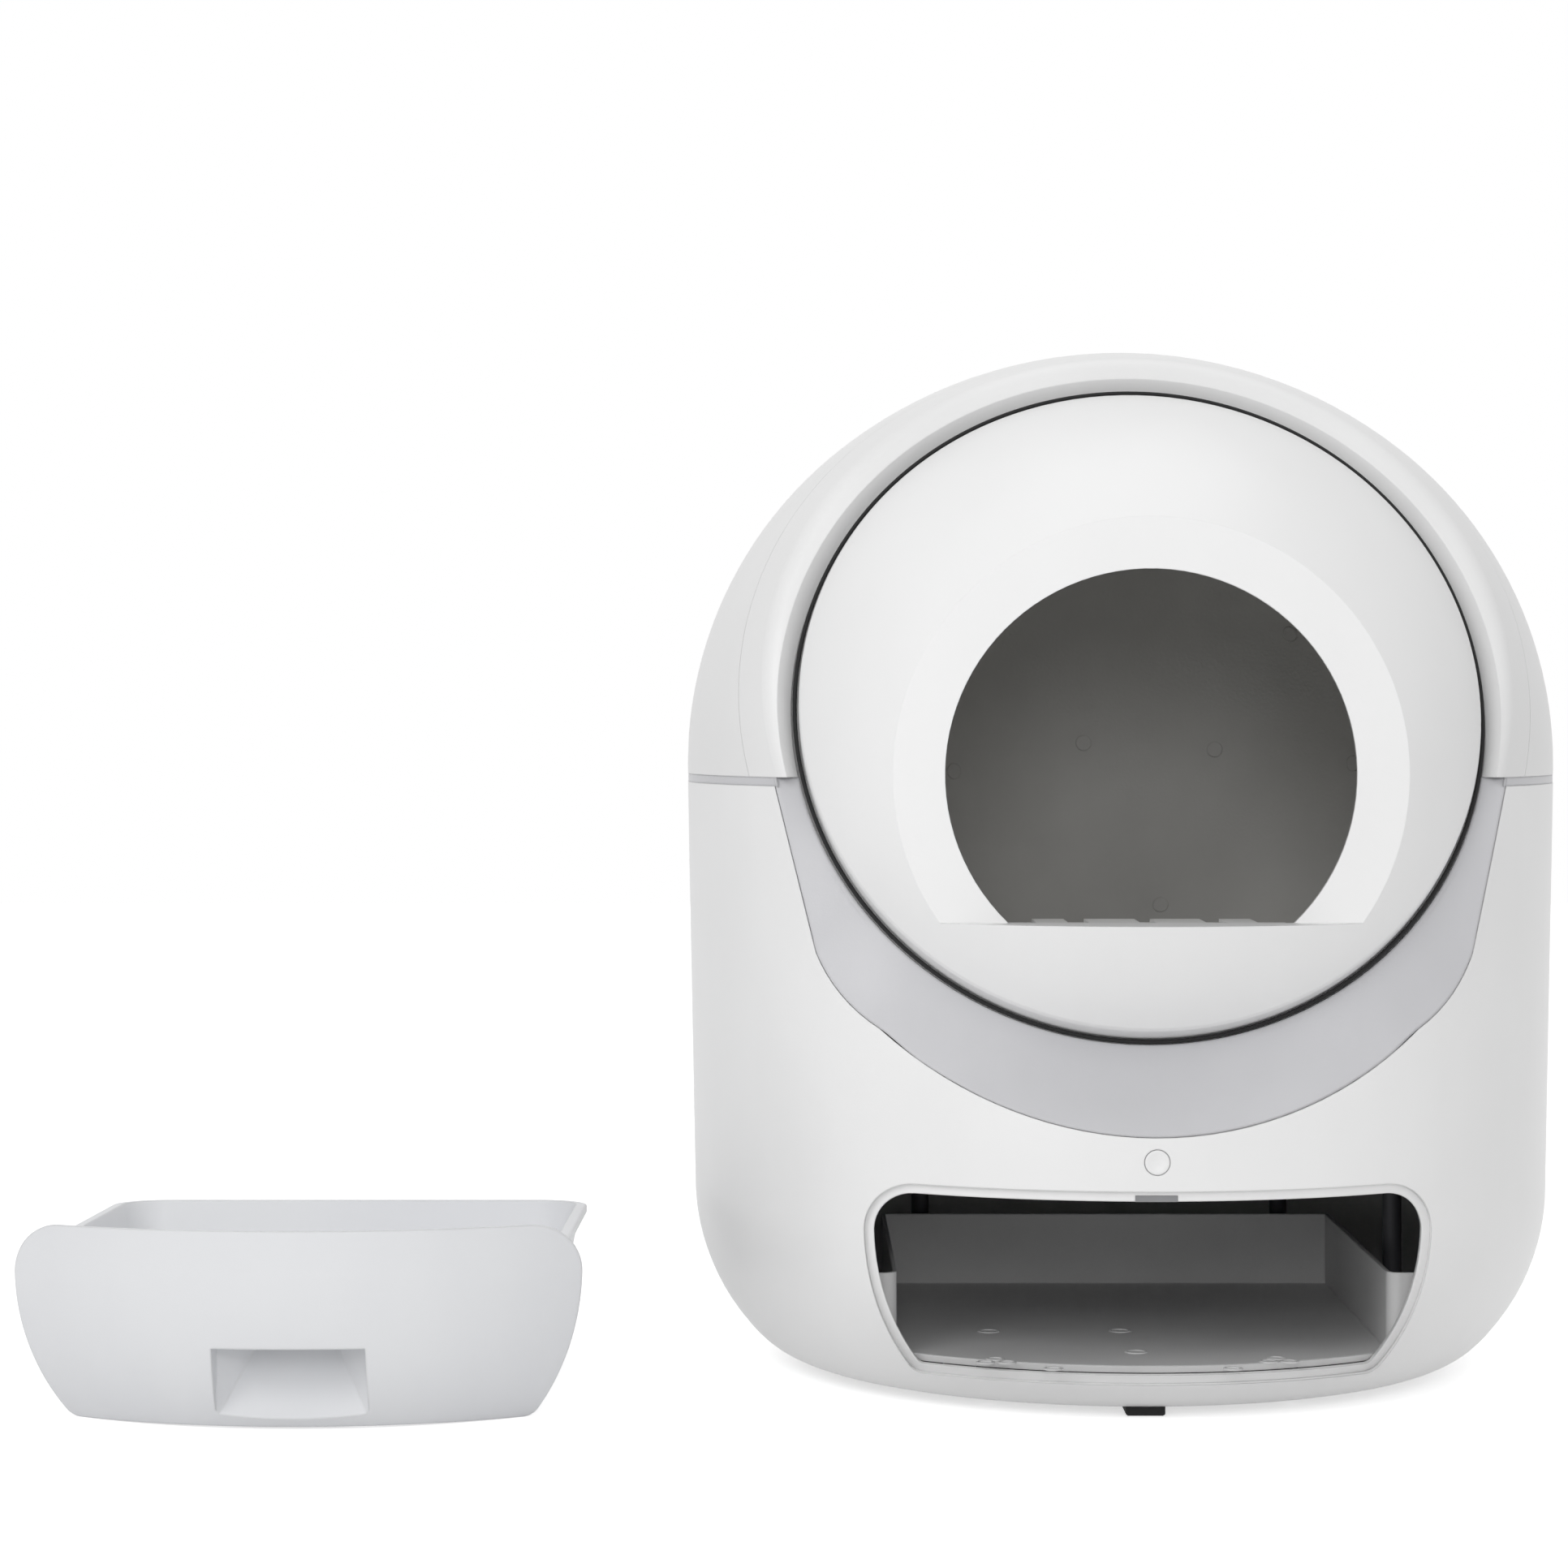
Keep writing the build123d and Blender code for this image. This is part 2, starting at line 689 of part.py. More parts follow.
lining_radius = globe_radius - wall - lining_gap
lining_cut = drum_rod(long_reach, -long_reach, drum_split + wall)
drum_lining = globe(lining_radius) - globe(lining_radius - lining) - lining_cut - waste_cut
screen_room = globe(lining_radius - lining - joint_gap)
screen_half = lining_radius
screen_top = screen_height + screen_thickness
screen = drum_box(-screen_half, screen_half, screen_height, screen_top, screen_near, screen_far)
slot_room = screen_far - screen_near - 2 * slot_margin
slot_length = (slot_room - slot_rib * (slot_rows - 1)) / slot_rows
slot_low = screen_height - wall
slot_high = screen_top + wall
for row in range(slot_rows):
    slot_start = screen_near + slot_margin + row * (slot_length + slot_rib)
    slot_end = slot_start + slot_length
    for column in range(slot_count):
        slot_x = (column - (slot_count - 1) / 2) * slot_pitch - slot_width / 2
        screen -= drum_box(slot_x, slot_x + slot_width, slot_low, slot_high, slot_start, slot_end)
screen = screen & screen_room

sill_top = sill_z - wall
plate_near_y = depth_y(sill_plate_near)
plate_far_y = depth_y(sill_plate_far)
plate_half = sill_plate_half
sill_plate = box_between(-plate_half, plate_half, plate_near_y, plate_far_y, sill_top - wall, sill_top)
pads = []
pad_near_y = depth_y(pad_near)
pad_far_y = depth_y(pad_far)
for low_x, high_x in pad_spans:
    pad = box_between(low_x, high_x, pad_near_y, pad_far_y, sill_top, sill_top + pad_thickness)
    pads.append(pad)

studs = []
reach = lining_radius - lining
stud_room = globe(reach) - globe(reach - stud_height)
for x, y in stud_places:
    back = globe_back + sqrt(reach**2 - x**2 - y**2)
    seat = Plane(origin=(x, y, -back), z_dir=(-x, -y, back - globe_back))
    studs.append(drum_place * seat.location * Cylinder(stud_radius, 4 * stud_height) & stud_room)


# Ring gear, pinion and spindle
def gear_face(teeth, first_angle):
    pitch = gear_module * teeth / 2
    base = pitch * cos(radians(gear_pressure))
    root = pitch - gear_module * gear_root_share
    tip = pitch + gear_module * gear_tip_share
    backlash = gear_module * backlash_share
    half_pitch = pi / (2 * teeth) - backlash / (2 * pitch)
    pitch_roll = sqrt(max(0, (pitch / base) ** 2 - 1))
    pitch_turn = pitch_roll - atan(pitch_roll)
    points = []
    for tooth in range(teeth):
        middle = radians(first_angle) + 2 * pi * tooth / teeth
        flank = []
        for share in flank_shares:
            radius = max(base, root) + share * (tip - max(base, root))
            roll = sqrt(max(0, (radius / base) ** 2 - 1))
            turn = half_pitch + pitch_turn - (roll - atan(roll))
            flank.append((radius, turn))
        low_turn = flank[0][1]
        outline = [(root, -low_turn)] + [(radius, -turn) for radius, turn in flank]
        outline += [(radius, turn) for radius, turn in reversed(flank)] + [(root, low_turn)]
        if base <= root:
            outline = outline[1:-1]
        for radius, turn in outline:
            points.append((radius * cos(middle + turn), radius * sin(middle + turn)))
    return make_face(Polyline(*points, close=True))


gear_end = gear_start + gear_thickness
ring_blank = extrude(gear_face(ring_teeth, -90), gear_thickness)
ring_gear = drum_place * Pos(0, 0, -gear_end) * ring_blank
ring_gear -= drum_rod(gear_bore, gear_start - wall, gear_end + wall)
gear_screws = []
for step in range(screw_count):
    angle = 2 * pi * step / screw_count
    x = gear_screw_ring * cos(angle)
    y = gear_screw_ring * sin(angle)
    ring_gear -= drum_rod(screw_shank + joint_gap, gear_start - wall, gear_end + wall, x, y)
    drum_rear -= drum_rod(screw_shank, gear_start - boss_wall - wall, gear_start + wall, x, y)
    gear_screw = drum_rod(screw_head, gear_end, gear_end + wall / 2, x, y)
    gear_screw += drum_rod(screw_shank, gear_start - boss_wall, gear_end, x, y)
    gear_screws.append(gear_screw)
pinion_y = -centre_distance
pinion_end = pinion_start + pinion_length
pinion_turn = 90 + 180 / pinion_teeth
pinion_blank = extrude(gear_face(pinion_teeth, pinion_turn), pinion_length)
pinion = drum_place * Pos(0, pinion_y, -pinion_end) * pinion_blank
pinion -= drum_rod(shaft_radius, pinion_start - wall, pinion_end + wall, 0, pinion_y)
frame_end = frame_start + frame_thickness
pinion_shaft = drum_rod(shaft_radius, pinion_start, frame_end + shaft_tail, 0, pinion_y)
spindle = drum_rod(spindle_flange, gear_start, gear_start + boss_wall)
spindle += drum_rod(spindle_radius, gear_start, frame_end + wall)

# Drive frame with bush, gearbox and motor
bush_radius = 17.0
frame_half = 56.0
frame_top = 30.0
frame_foot_near = 372.0
frame_foot_far = 424.0
shaft_hole = 7.0
frame_sole = 10.0
frame_plate_near = frame_start - wall
frame_plate_far = frame_end + wall
frame_mid = -centre_distance - frame_half
frame_low = frame_mid - frame_half
bush = drum_rod(bush_radius, frame_start, frame_end)
bush -= drum_rod(spindle_radius + running_gap, frame_plate_near, frame_plate_far)
drive_frame = drum_box(-frame_half, frame_half, frame_low, frame_top, frame_start, frame_end)
drive_frame -= drum_rod(bush_radius, frame_plate_near, frame_plate_far)
drive_frame -= drum_rod(shaft_hole, frame_plate_near, frame_plate_far, 0, pinion_y)
above_deck = box_between(-long_reach, long_reach, front_y, axis_y + long_reach, deck_top, 2 * long_reach)
frame_sole_half = frame_half + frame_sole
sole_near_y = depth_y(frame_foot_near)
sole_far_y = depth_y(frame_foot_far)
sole_top = deck_top + boss_wall
sole = box_between(-frame_sole_half, frame_sole_half, sole_near_y, sole_far_y, deck_top, sole_top)
drive_frame = (drive_frame & above_deck) + sole
gearbox_end = frame_end + gearbox_length
gearbox_low = pinion_y - gearbox_down
gearbox_high = pinion_y + gearbox_up
tail_room = frame_end + shaft_tail + wall
gearbox = drum_box(-gearbox_half, gearbox_half, gearbox_low, gearbox_high, frame_end, gearbox_end)
gearbox -= drum_rod(shaft_radius + running_gap, frame_end - wall, tail_room, 0, pinion_y)
motor_end = gearbox_end + motor_length
motor = drum_rod(motor_radius, gearbox_end, motor_end, 0, pinion_y)
motor += drum_rod(motor_nub, motor_end, motor_end + wall, 0, pinion_y)
board_z = deck_top + board_rise
board_top = board_z + board_thickness
board_near_y = depth_y(board_near)
board_far_y = depth_y(board_far)
board = box_between(board_left, board_right, board_near_y, board_far_y, board_z, board_top)
for x, depth, half_x, half_y, rise in board_chips:
    low_y = depth_y(depth) - half_y
    board += box_between(x - half_x, x + half_x, low_y, low_y + 2 * half_y, board_z, board_top + rise)
socket_back = back_y - wall
socket_low_z = socket_z - socket_half
socket_near = socket_back - 2 * socket_length
socket_far = socket_back - wall
socket_high_z = socket_z + socket_half
socket = box_between(-socket_half, socket_half, socket_near, socket_far, socket_low_z, socket_high_z)
socket += along(socket_radius, socket_back - socket_length, socket_back + wall / 2, 0, socket_z)
socket -= along(socket_radius / 2, socket_back - socket_length / 2, socket_back + wall, 0, socket_z)

# Rollers, pins and brackets
rollers = []
pins = []
brackets = []
roller_reach = track_radius + roller_radius + joint_gap
track_middle = (track_near + track_far) / 2
roller_near = track_middle - roller_width / 2
roller_far = track_middle + roller_width / 2
fork_near = roller_near - bracket_side_gap
fork_far = roller_far + bracket_side_gap
pin_near = fork_near - bracket_wall
pin_far = fork_far + bracket_wall
fork_half = bracket_width / 2
fork_top = 2 * roller_pin
roller_room = roller_radius + wall
for side in (-1, 1):
    x = side * roller_reach * sin(radians(roller_angle))
    y = -roller_reach * cos(radians(roller_angle))
    roller = drum_rod(roller_radius, roller_near, roller_far, x, y)
    rollers.append(roller - drum_rod(roller_bore, roller_near - wall, roller_far + wall, x, y))
    pins.append(drum_rod(roller_pin, pin_near, pin_far, x, y))
    low_x = x - bracket_width
    high_x = x + bracket_width
    fork = drum_box(x - fork_half, x + fork_half, y - track_radius, y + fork_top, pin_near, pin_far)
    fork -= drum_box(low_x, high_x, y - roller_room, y + track_radius, fork_near, fork_far)
    fork -= drum_rod(roller_pin, pin_near - wall, pin_far + wall, x, y)
    brackets.append(fork & above_deck)

# Waste drawer as it sits in the bay
panel = base_outer - base_form(panel_thickness - joint_gap)
panel = panel & prism(panel_outline, bay_front_y, bay_reach_y)
pocket_mouth_y = depth_y(pocket_mouth_depth)
pocket_back_y = depth_y(pocket_deep)
pocket_open_y = front_y - wall
pocket_slope = (pocket_high_z - pocket_wall - pocket_low_z) / (pocket_back_y - pocket_mouth_y)


def pocket_form(grow):
    back = pocket_back_y + grow
    top = pocket_high_z + grow
    low_z = pocket_low_z - grow - pocket_slope * (pocket_mouth_y - pocket_open_y)
    high_z = pocket_high_z - pocket_wall
    slope = Polyline((pocket_open_y, low_z), (back, high_z), (back, top), (pocket_open_y, top), close=True)
    wedge = Pos(-long_reach, 0, 0) * extrude(Plane.YZ * make_face(slope), 2 * long_reach)
    wide = pocket_half + grow
    narrow = wide - pocket_narrowing
    right = [(wide, pocket_open_y), (wide, pocket_mouth_y), (narrow, back)]
    plan = right + [(-x, y) for x, y in reversed(right)]
    return wedge & extrude(make_face(Polyline(*plan, close=True)), long_reach)


panel += pocket_form(pocket_wall) & base_outer & base_form(joint_gap)
panel -= pocket_form(0)
basin_front_y = depth_y(basin_front_depth)
basin_back_y = depth_y(basin_back_depth)
basin_rise = basin_high_z - basin_low_z
basin_spread = basin_rise * tan(radians(basin_lean))
basin_length = basin_back_y - basin_front_y
basin_place = Pos(0, (basin_front_y + basin_back_y) / 2, 0)


def basin_form(grow, low_z, rise):
    wide = 2 * (basin_low_half + grow)
    long = basin_length - 2 * basin_spread + 2 * grow
    flat = RectangleRounded(wide, long, basin_corner + grow)
    form = extrude(flat, rise, taper=-basin_lean)
    low_edges = form.faces().sort_by(Axis.Z)[0].edges()
    return basin_place * Pos(0, 0, low_z) * fillet(low_edges, basin_low_rounding + grow)


basin = basin_form(0, basin_low_z, basin_rise)
rim_low = basin_high_z - basin_rim_height
rim_grow = basin_spread + basin_rim
rim_wide = 2 * (basin_low_half + rim_grow)
rim_flat = RectangleRounded(rim_wide, basin_length + 2 * basin_rim, basin_corner + rim_grow)
rim_form = extrude(rim_flat, basin_rim_height)
rim_edges = rim_form.faces().sort_by(Axis.Z)[-1].edges()
basin += basin_place * Pos(0, 0, rim_low) * fillet(rim_edges, rim_rounding_edge)
basin -= basin_form(-basin_wall, basin_low_z + basin_wall, basin_rise)
rib_y = basin_front_y + basin_spread
for side in (-1, 1):
    low_x = side * rib_half - rib_thickness / 2
    rib = box_between(low_x, low_x + rib_thickness, front_y, rib_y, rib_low_z, rib_high_z)
    panel += (rib & base_form(wall)) - basin_form(0, basin_low_z, basin_rise)
drawer_tilt = degrees(atan((basin_low_z - bay_low_z) / (basin_back_depth - foot_width)))
drawer_turn = Rot(X=-drawer_tilt)
stand_z = min((drawer_turn * shape).bounding_box().min.Z for shape in (panel, basin))
drawer_place = Pos(drawer_shift_x, drawer_face_depth, -stand_z) * drawer_turn

parts = {
    "base_housing": housing,
    "floor_pan": pan,
    "pan_screws": group(screws),
    "front_foot": front_foot,
    "rear_feet": group(rear_feet),
    "load_cells": group(cells),
    "bay_liner": liner,
    "deck_plate": deck,
    "deck_posts": group(posts),
    "cradle": cradle,
    "hood_front": hood_front,
    "hood_rear": hood_rear,
    "hood_latch_left": latches[0],
    "hood_latch_right": latches[1],
    "latch_spring_left": latch_springs[0],
    "latch_spring_right": latch_springs[1],
    "front_button": button,
    "button_switch": switch,
    "drawer_sensor": sensor,
    "drum_front": drum_front,
    "drum_rear": drum_rear,
    "drum_track": track,
    "drum_lining": drum_lining,
    "lining_studs": group(studs),
    "sifting_screen": screen,
    "entry_sill": sill_plate,
    "sill_pads": group(pads),
    "ring_gear": ring_gear,
    "gear_screws": group(gear_screws),
    "drum_spindle": spindle,
    "spindle_bush": bush,
    "drive_frame": drive_frame,
    "drive_pinion": pinion,
    "pinion_shaft": pinion_shaft,
    "gearbox": gearbox,
    "drive_motor": motor,
    "control_board": board,
    "power_socket": socket,
    "roller_left": rollers[0],
    "roller_right": rollers[1],
    "roller_pins": group(pins),
    "roller_brackets": group(brackets),
    "drawer_front": drawer_place * panel,
    "drawer_basin": drawer_place * basin,
}
for name, shape in parts.items():
    save(name, shape)
    print(name, len(shape.solids()), shape.is_valid)
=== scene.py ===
import math

import bpy
import numpy as np
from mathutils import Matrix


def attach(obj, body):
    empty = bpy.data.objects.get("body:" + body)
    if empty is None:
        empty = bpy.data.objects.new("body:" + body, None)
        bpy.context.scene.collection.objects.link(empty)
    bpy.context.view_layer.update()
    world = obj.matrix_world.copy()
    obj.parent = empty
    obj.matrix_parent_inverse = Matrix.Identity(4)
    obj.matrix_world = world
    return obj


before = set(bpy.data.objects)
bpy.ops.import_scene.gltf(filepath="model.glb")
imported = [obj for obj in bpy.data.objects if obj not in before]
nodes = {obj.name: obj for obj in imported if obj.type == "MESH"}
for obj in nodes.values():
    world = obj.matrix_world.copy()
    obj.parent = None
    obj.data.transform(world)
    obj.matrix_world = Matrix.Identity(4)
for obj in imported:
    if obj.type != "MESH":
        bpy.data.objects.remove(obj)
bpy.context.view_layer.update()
print("frame loaded,", len(nodes), "nodes")

scene = bpy.context.scene
scene.view_settings.view_transform = "Standard"

view = {
    "place": (-0.220, -2.340, 0.432),  # metres, 2.25 m in front of the nearest white wall
    "lens": 87.86,  # millimetres, on a sensor of the width below
    "sensor": 36.0,
    "shiftUp": -0.0497,
    "nearest": 0.05,  # metres
    "furthest": 60.0,
}


def makeCamera(view):
    data = bpy.data.cameras.new("photoCamera")
    data.lens = view["lens"]
    data.sensor_width = view["sensor"]
    data.shift_y = view["shiftUp"]
    data.clip_start = view["nearest"]
    data.clip_end = view["furthest"]
    data.dof.use_dof = False
    camera = bpy.data.objects.new("photoCamera", data)
    camera.location = view["place"]
    camera.rotation_euler = (math.pi / 2, 0.0, 0.0)
    scene.collection.objects.link(camera)
    scene.camera = camera


makeCamera(view)

# Shader graphs: a Wire is a socket that takes part in sums


class Wire:
    def __init__(self, graph, socket):
        self.graph = graph
        self.socket = socket

    def maths(self, operation, *others):
        return self.graph.add("ShaderNodeMath", {"operation": operation}, *((self,) + others))

    def __add__(self, other):
        return self.maths("ADD", other)

    def __radd__(self, other):
        return self.maths("ADD", other)

    def __sub__(self, other):
        return self.maths("SUBTRACT", other)

    def __rsub__(self, other):
        return self.graph.add("ShaderNodeMath", {"operation": "SUBTRACT"}, other, self)

    def __mul__(self, other):
        return self.maths("MULTIPLY", other)

    def between(self, low, high):  # 0 below low, 1 above high, smooth in between
        ramp = self.graph.add("ShaderNodeMapRange", {"interpolation_type": "SMOOTHSTEP"}, Value=self)
        ramp.socket.node.inputs["From Min"].default_value = low
        ramp.socket.node.inputs["From Max"].default_value = high
        return ramp

    def out(self, name):
        return Wire(self.graph, self.socket.node.outputs[name])


class Graph:
    def __init__(self, owner):
        owner.use_nodes = True
        self.tree = owner.node_tree
        self.tree.nodes.clear()

    def add(self, kind, settings=None, *ordered, **named):  # settings, then sockets by order or name
        node = self.tree.nodes.new(kind)
        for key, value in (settings or {}).items():
            setattr(node, key, value)
        sockets = [(node.inputs[index], value) for index, value in enumerate(ordered)]
        sockets += [(node.inputs[key.replace("_", " ")], value) for key, value in named.items()]
        for socket, value in sockets:
            if isinstance(value, Wire):
                self.tree.links.new(value.socket, socket)
            elif value is not None:
                socket.default_value = value
        return Wire(self, node.outputs[0] if node.outputs else None)

    def place(self, stretch=(1.0, 1.0, 1.0)):
        coordinates = self.add("ShaderNodeTexCoord").out("Object")
        if stretch == (1.0, 1.0, 1.0):
            return coordinates
        return self.add("ShaderNodeMapping", None, Vector=coordinates, Scale=stretch)

    def noise(self, scale, detail, vector=None):
        texture = self.add("ShaderNodeTexNoise", None, Scale=scale, Detail=detail, Roughness=0.5,
                           Vector=vector or self.place())
        return texture.out("Fac")

    def mixColour(self, factor, first, second):
        mix = self.add("ShaderNodeMix", {"data_type": "RGBA", "blend_type": "MIX"})
        node = mix.socket.node
        for index, value in ((0, factor), (6, first), (7, second)):
            if isinstance(value, Wire):
                self.tree.links.new(value.socket, node.inputs[index])
            else:
                node.inputs[index].default_value = value
        return Wire(self, node.outputs[2])

    def finish(self, shader):
        self.add("ShaderNodeOutputMaterial", None, Surface=shader)


def colour(hexText):  # linear from written: up to 0.04045 a 12.92th, above it the 2.4th power
    parts = [int(hexText[index:index + 2], 16) / 255 for index in (0, 2, 4)]
    linear = [part / 12.92 if part <= 0.04045 else ((part + 0.055) / 1.055) ** 2.4 for part in parts]
    return (*linear, 1.0)


# Moulded plastics: two near colours, roughness, the colour of the painted highlight along edges, grains to
# the metre, strength of their bump, clouds to the metre, and the radius in metres of the edges that the
# mould leaves

moulding = {
    "flowFaster": 3.0,  # flow lines to one cloud
    "flowStretch": (1.0, 1.0, 0.25),
    "flowShare": 0.3,
    "cloudEdge": (0.35, 0.65),
    "edgeSamples": 4,
    "highlightFrom": (0.03, 0.22),  # span of the painted edge highlight, in one less the cosine between the rounded normal and the true one
    "grainHeight": 0.0004,  # metres
    "refraction": 1.47,
}
plastics = {
    "shellWhite": {
        "light": "f1f1f1", "deep": "ececec", "rough": 0.38, "highlightTone": "f6f6f6",
        "grain": 900.0, "depth": 0.10, "clouds": 5.0, "edge": 0.0016,
    },
    "hoodWhite": {
        "light": "ebebeb", "deep": "e6e6e6", "rough": 0.36, "highlightTone": "f4f4f4",
        "grain": 900.0, "depth": 0.08, "clouds": 4.0, "edge": 0.0012,
    },
    "drumWhite": {
        "light": "f0f0f0", "deep": "ececec", "rough": 0.42, "highlightTone": "f5f5f5",
        "grain": 900.0, "depth": 0.10, "clouds": 4.0, "edge": 0.0010,
    },
    "crescentGrey": {
        "light": "cbcbce", "deep": "c5c5c8", "rough": 0.34, "highlightTone": "d9d9db",
        "grain": 800.0, "depth": 0.12, "clouds": 6.0, "edge": 0.0030,
    },
    "bayWhite": {
        "light": "dadada", "deep": "d2d2d2", "rough": 0.45, "highlightTone": "ececec",
        "grain": 700.0, "depth": 0.15, "clouds": 6.0, "edge": 0.0020,
    },
    "innerDark": {
        "light": "55555a", "deep": "4b4b4f", "rough": 0.55, "highlightTone": "68686c",
        "grain": 600.0, "depth": 0.20, "clouds": 6.0, "edge": 0.0008,
    },
    "liningGrey": {
        "light": "c1c0bd", "deep": "b9b8b5", "rough": 0.60, "highlightTone": "c8c7c5",
        "grain": 420.0, "depth": 0.35, "clouds": 7.0, "edge": 0.0015,
    },
    "drawerWhite": {
        "light": "e4e5e7", "deep": "dfe0e3", "rough": 0.40, "highlightTone": "f2f3f4",
        "grain": 900.0, "depth": 0.10, "clouds": 5.0, "edge": 0.0025,
    },
    "gearIvory": {
        "light": "d9d5c6", "deep": "cfcab9", "rough": 0.48, "highlightTone": "e6e3d8",
        "grain": 500.0, "depth": 0.15, "clouds": 12.0, "edge": 0.0006,
    },
    "panBlack": {
        "light": "2c2c2e", "deep": "242426", "rough": 0.60, "highlightTone": "3a3a3c",
        "grain": 500.0, "depth": 0.25, "clouds": 8.0, "edge": 0.0008,
    },
    "footRubber": {
        "light": "1c1c1d", "deep": "151516", "rough": 0.80, "highlightTone": "2a2a2b",
        "grain": 350.0, "depth": 0.40, "clouds": 30.0, "edge": 0.0010,
    },
    "sensorSmoke": {
        "light": "8d8e90", "deep": "858688", "rough": 0.22, "highlightTone": "a0a1a3",
        "grain": 700.0, "depth": 0.05, "clouds": 20.0, "edge": 0.0005,
    },
    "padSoft": {
        "light": "e8e8e7", "deep": "dfdfdd", "rough": 0.62, "highlightTone": "efefee",
        "grain": 380.0, "depth": 0.30, "clouds": 18.0, "edge": 0.0012,
    },
}


# The colour is two near ones mixed by clouds, then a lighter one painted as a highlight where the rounded
# normal leaves the true one. The roughness follows clouds, grain and the painted highlight's mask. The
# normal is the rounded one with the grain's bump.
def mouldedPlastic(name, look):
    graph = Graph(bpy.data.materials.new(name))
    clouds = graph.noise(look["clouds"], 3.0)
    flow = graph.noise(look["clouds"] * moulding["flowFaster"], 2.0, graph.place(moulding["flowStretch"]))
    flowing = clouds * (1.0 - moulding["flowShare"]) + flow * moulding["flowShare"]
    blend = flowing.between(*moulding["cloudEdge"])
    grain = graph.noise(look["grain"], 3.0)
    rounded = graph.add("ShaderNodeBevel", {"samples": moulding["edgeSamples"]}, Radius=look["edge"])
    straight = graph.add("ShaderNodeNewGeometry").out("Normal")
    along = graph.add("ShaderNodeVectorMath", {"operation": "DOT_PRODUCT"}, rounded, straight).out("Value")
    # Painted highlight: a lighter colour along the rounded edges, where the rounded normal leaves the true
    # one; it also lowers the roughness there
    paintedHighlight = (1.0 - along).between(*moulding["highlightFrom"]) * (0.45 + clouds * 0.5)
    bump = graph.add("ShaderNodeBump", None, Strength=look["depth"], Distance=moulding["grainHeight"],
                     Height=grain, Normal=rounded)
    paint = graph.mixColour(blend, colour(look["deep"]), colour(look["light"]))
    shader = graph.add(
        "ShaderNodeBsdfPrincipled", None,
        Base_Color=graph.mixColour(paintedHighlight, paint, colour(look["highlightTone"])),
        Roughness=look["rough"] - 0.04 + blend * 0.05 + grain * 0.04 - paintedHighlight * 0.08,
        Normal=bump,
    )
    shader.socket.node.inputs["IOR"].default_value = moulding["refraction"]
    graph.finish(shader)
    return bpy.data.materials[name]


# Turned and sintered metals: two near colours, gloss, and turning lines to the metre

metals = {
    "steelBright": {"light": "b9babd", "deep": "a2a3a6", "rough": 0.28, "lines": 240.0},
    "motorSteel": {"light": "a9aaad", "deep": "8f9093", "rough": 0.38, "lines": 90.0},
    "bronzeSinter": {"light": "b08a55", "deep": "94713f", "rough": 0.45, "lines": 420.0},
}


# Turning lines are a noise stretched along X, which varies the colour, the gloss and the bump.
def turnedMetal(name, look):
    graph = Graph(bpy.data.materials.new(name))
    lines = graph.noise(look["lines"], 4.0, graph.place((0.15, 1.0, 1.0)))
    stain = graph.noise(14.0, 2.0)
    blend = (lines * 0.6 + stain * 0.4).between(0.35, 0.65)
    shader = graph.add(
        "ShaderNodeBsdfPrincipled", None,
        Base_Color=graph.mixColour(blend, colour(look["deep"]), colour(look["light"])),
        Roughness=look["rough"] - 0.05 + lines * 0.16,
        Metallic=1.0,
        Normal=graph.add("ShaderNodeBump", None, Strength=0.15, Distance=0.0003, Height=lines),
    )
    graph.finish(shader)
    return bpy.data.materials[name]


boardLook = {
    "mask": "1d5a34", "track": "2b7344", "pad": "c9b26a",
    "pitch": 0.0035,  # metres
    "trackOffset": 0.37,
    "trackSize": (0.06, 4.0, 0.8),  # gap, length and height, in pitches
    "padShare": 0.6,  # pads to one track
    "padEdge": (0.10, 0.14),
}


# Green lacquer over tracks: bricks give the straight tracks, and the middles of cells the bright pads.
def circuitBoard(name, look):
    graph = Graph(bpy.data.materials.new(name))
    gap, length, height = look["trackSize"]
    bricks = graph.add("ShaderNodeTexBrick", {"offset": look["trackOffset"]}, Vector=graph.place(),
                       Scale=1.0 / look["pitch"], Mortar_Size=gap, Brick_Width=length, Row_Height=height)
    tracks = bricks.out("Fac")
    cells = graph.add("ShaderNodeTexVoronoi", None, Vector=graph.place(),
                      Scale=look["padShare"] / look["pitch"])
    dots = 1.0 - cells.out("Distance").between(*look["padEdge"])
    lacquer = graph.mixColour(tracks, colour(look["mask"]), colour(look["track"]))
    shader = graph.add(
        "ShaderNodeBsdfPrincipled", None,
        Base_Color=graph.mixColour(dots, lacquer, colour(look["pad"])),
        Roughness=0.34 + tracks * 0.12,
        Metallic=dots * 0.8,
        Normal=graph.add("ShaderNodeBump", None, Strength=0.3, Distance=0.0002, Height=tracks),
    )
    graph.finish(shader)
    return bpy.data.materials[name]


finishes = {name: mouldedPlastic(name, look) for name, look in plastics.items()}
finishes.update({name: turnedMetal(name, look) for name, look in metals.items()})
finishes["boardGreen"] = circuitBoard("boardGreen", boardLook)
print("materials made,", len(finishes))

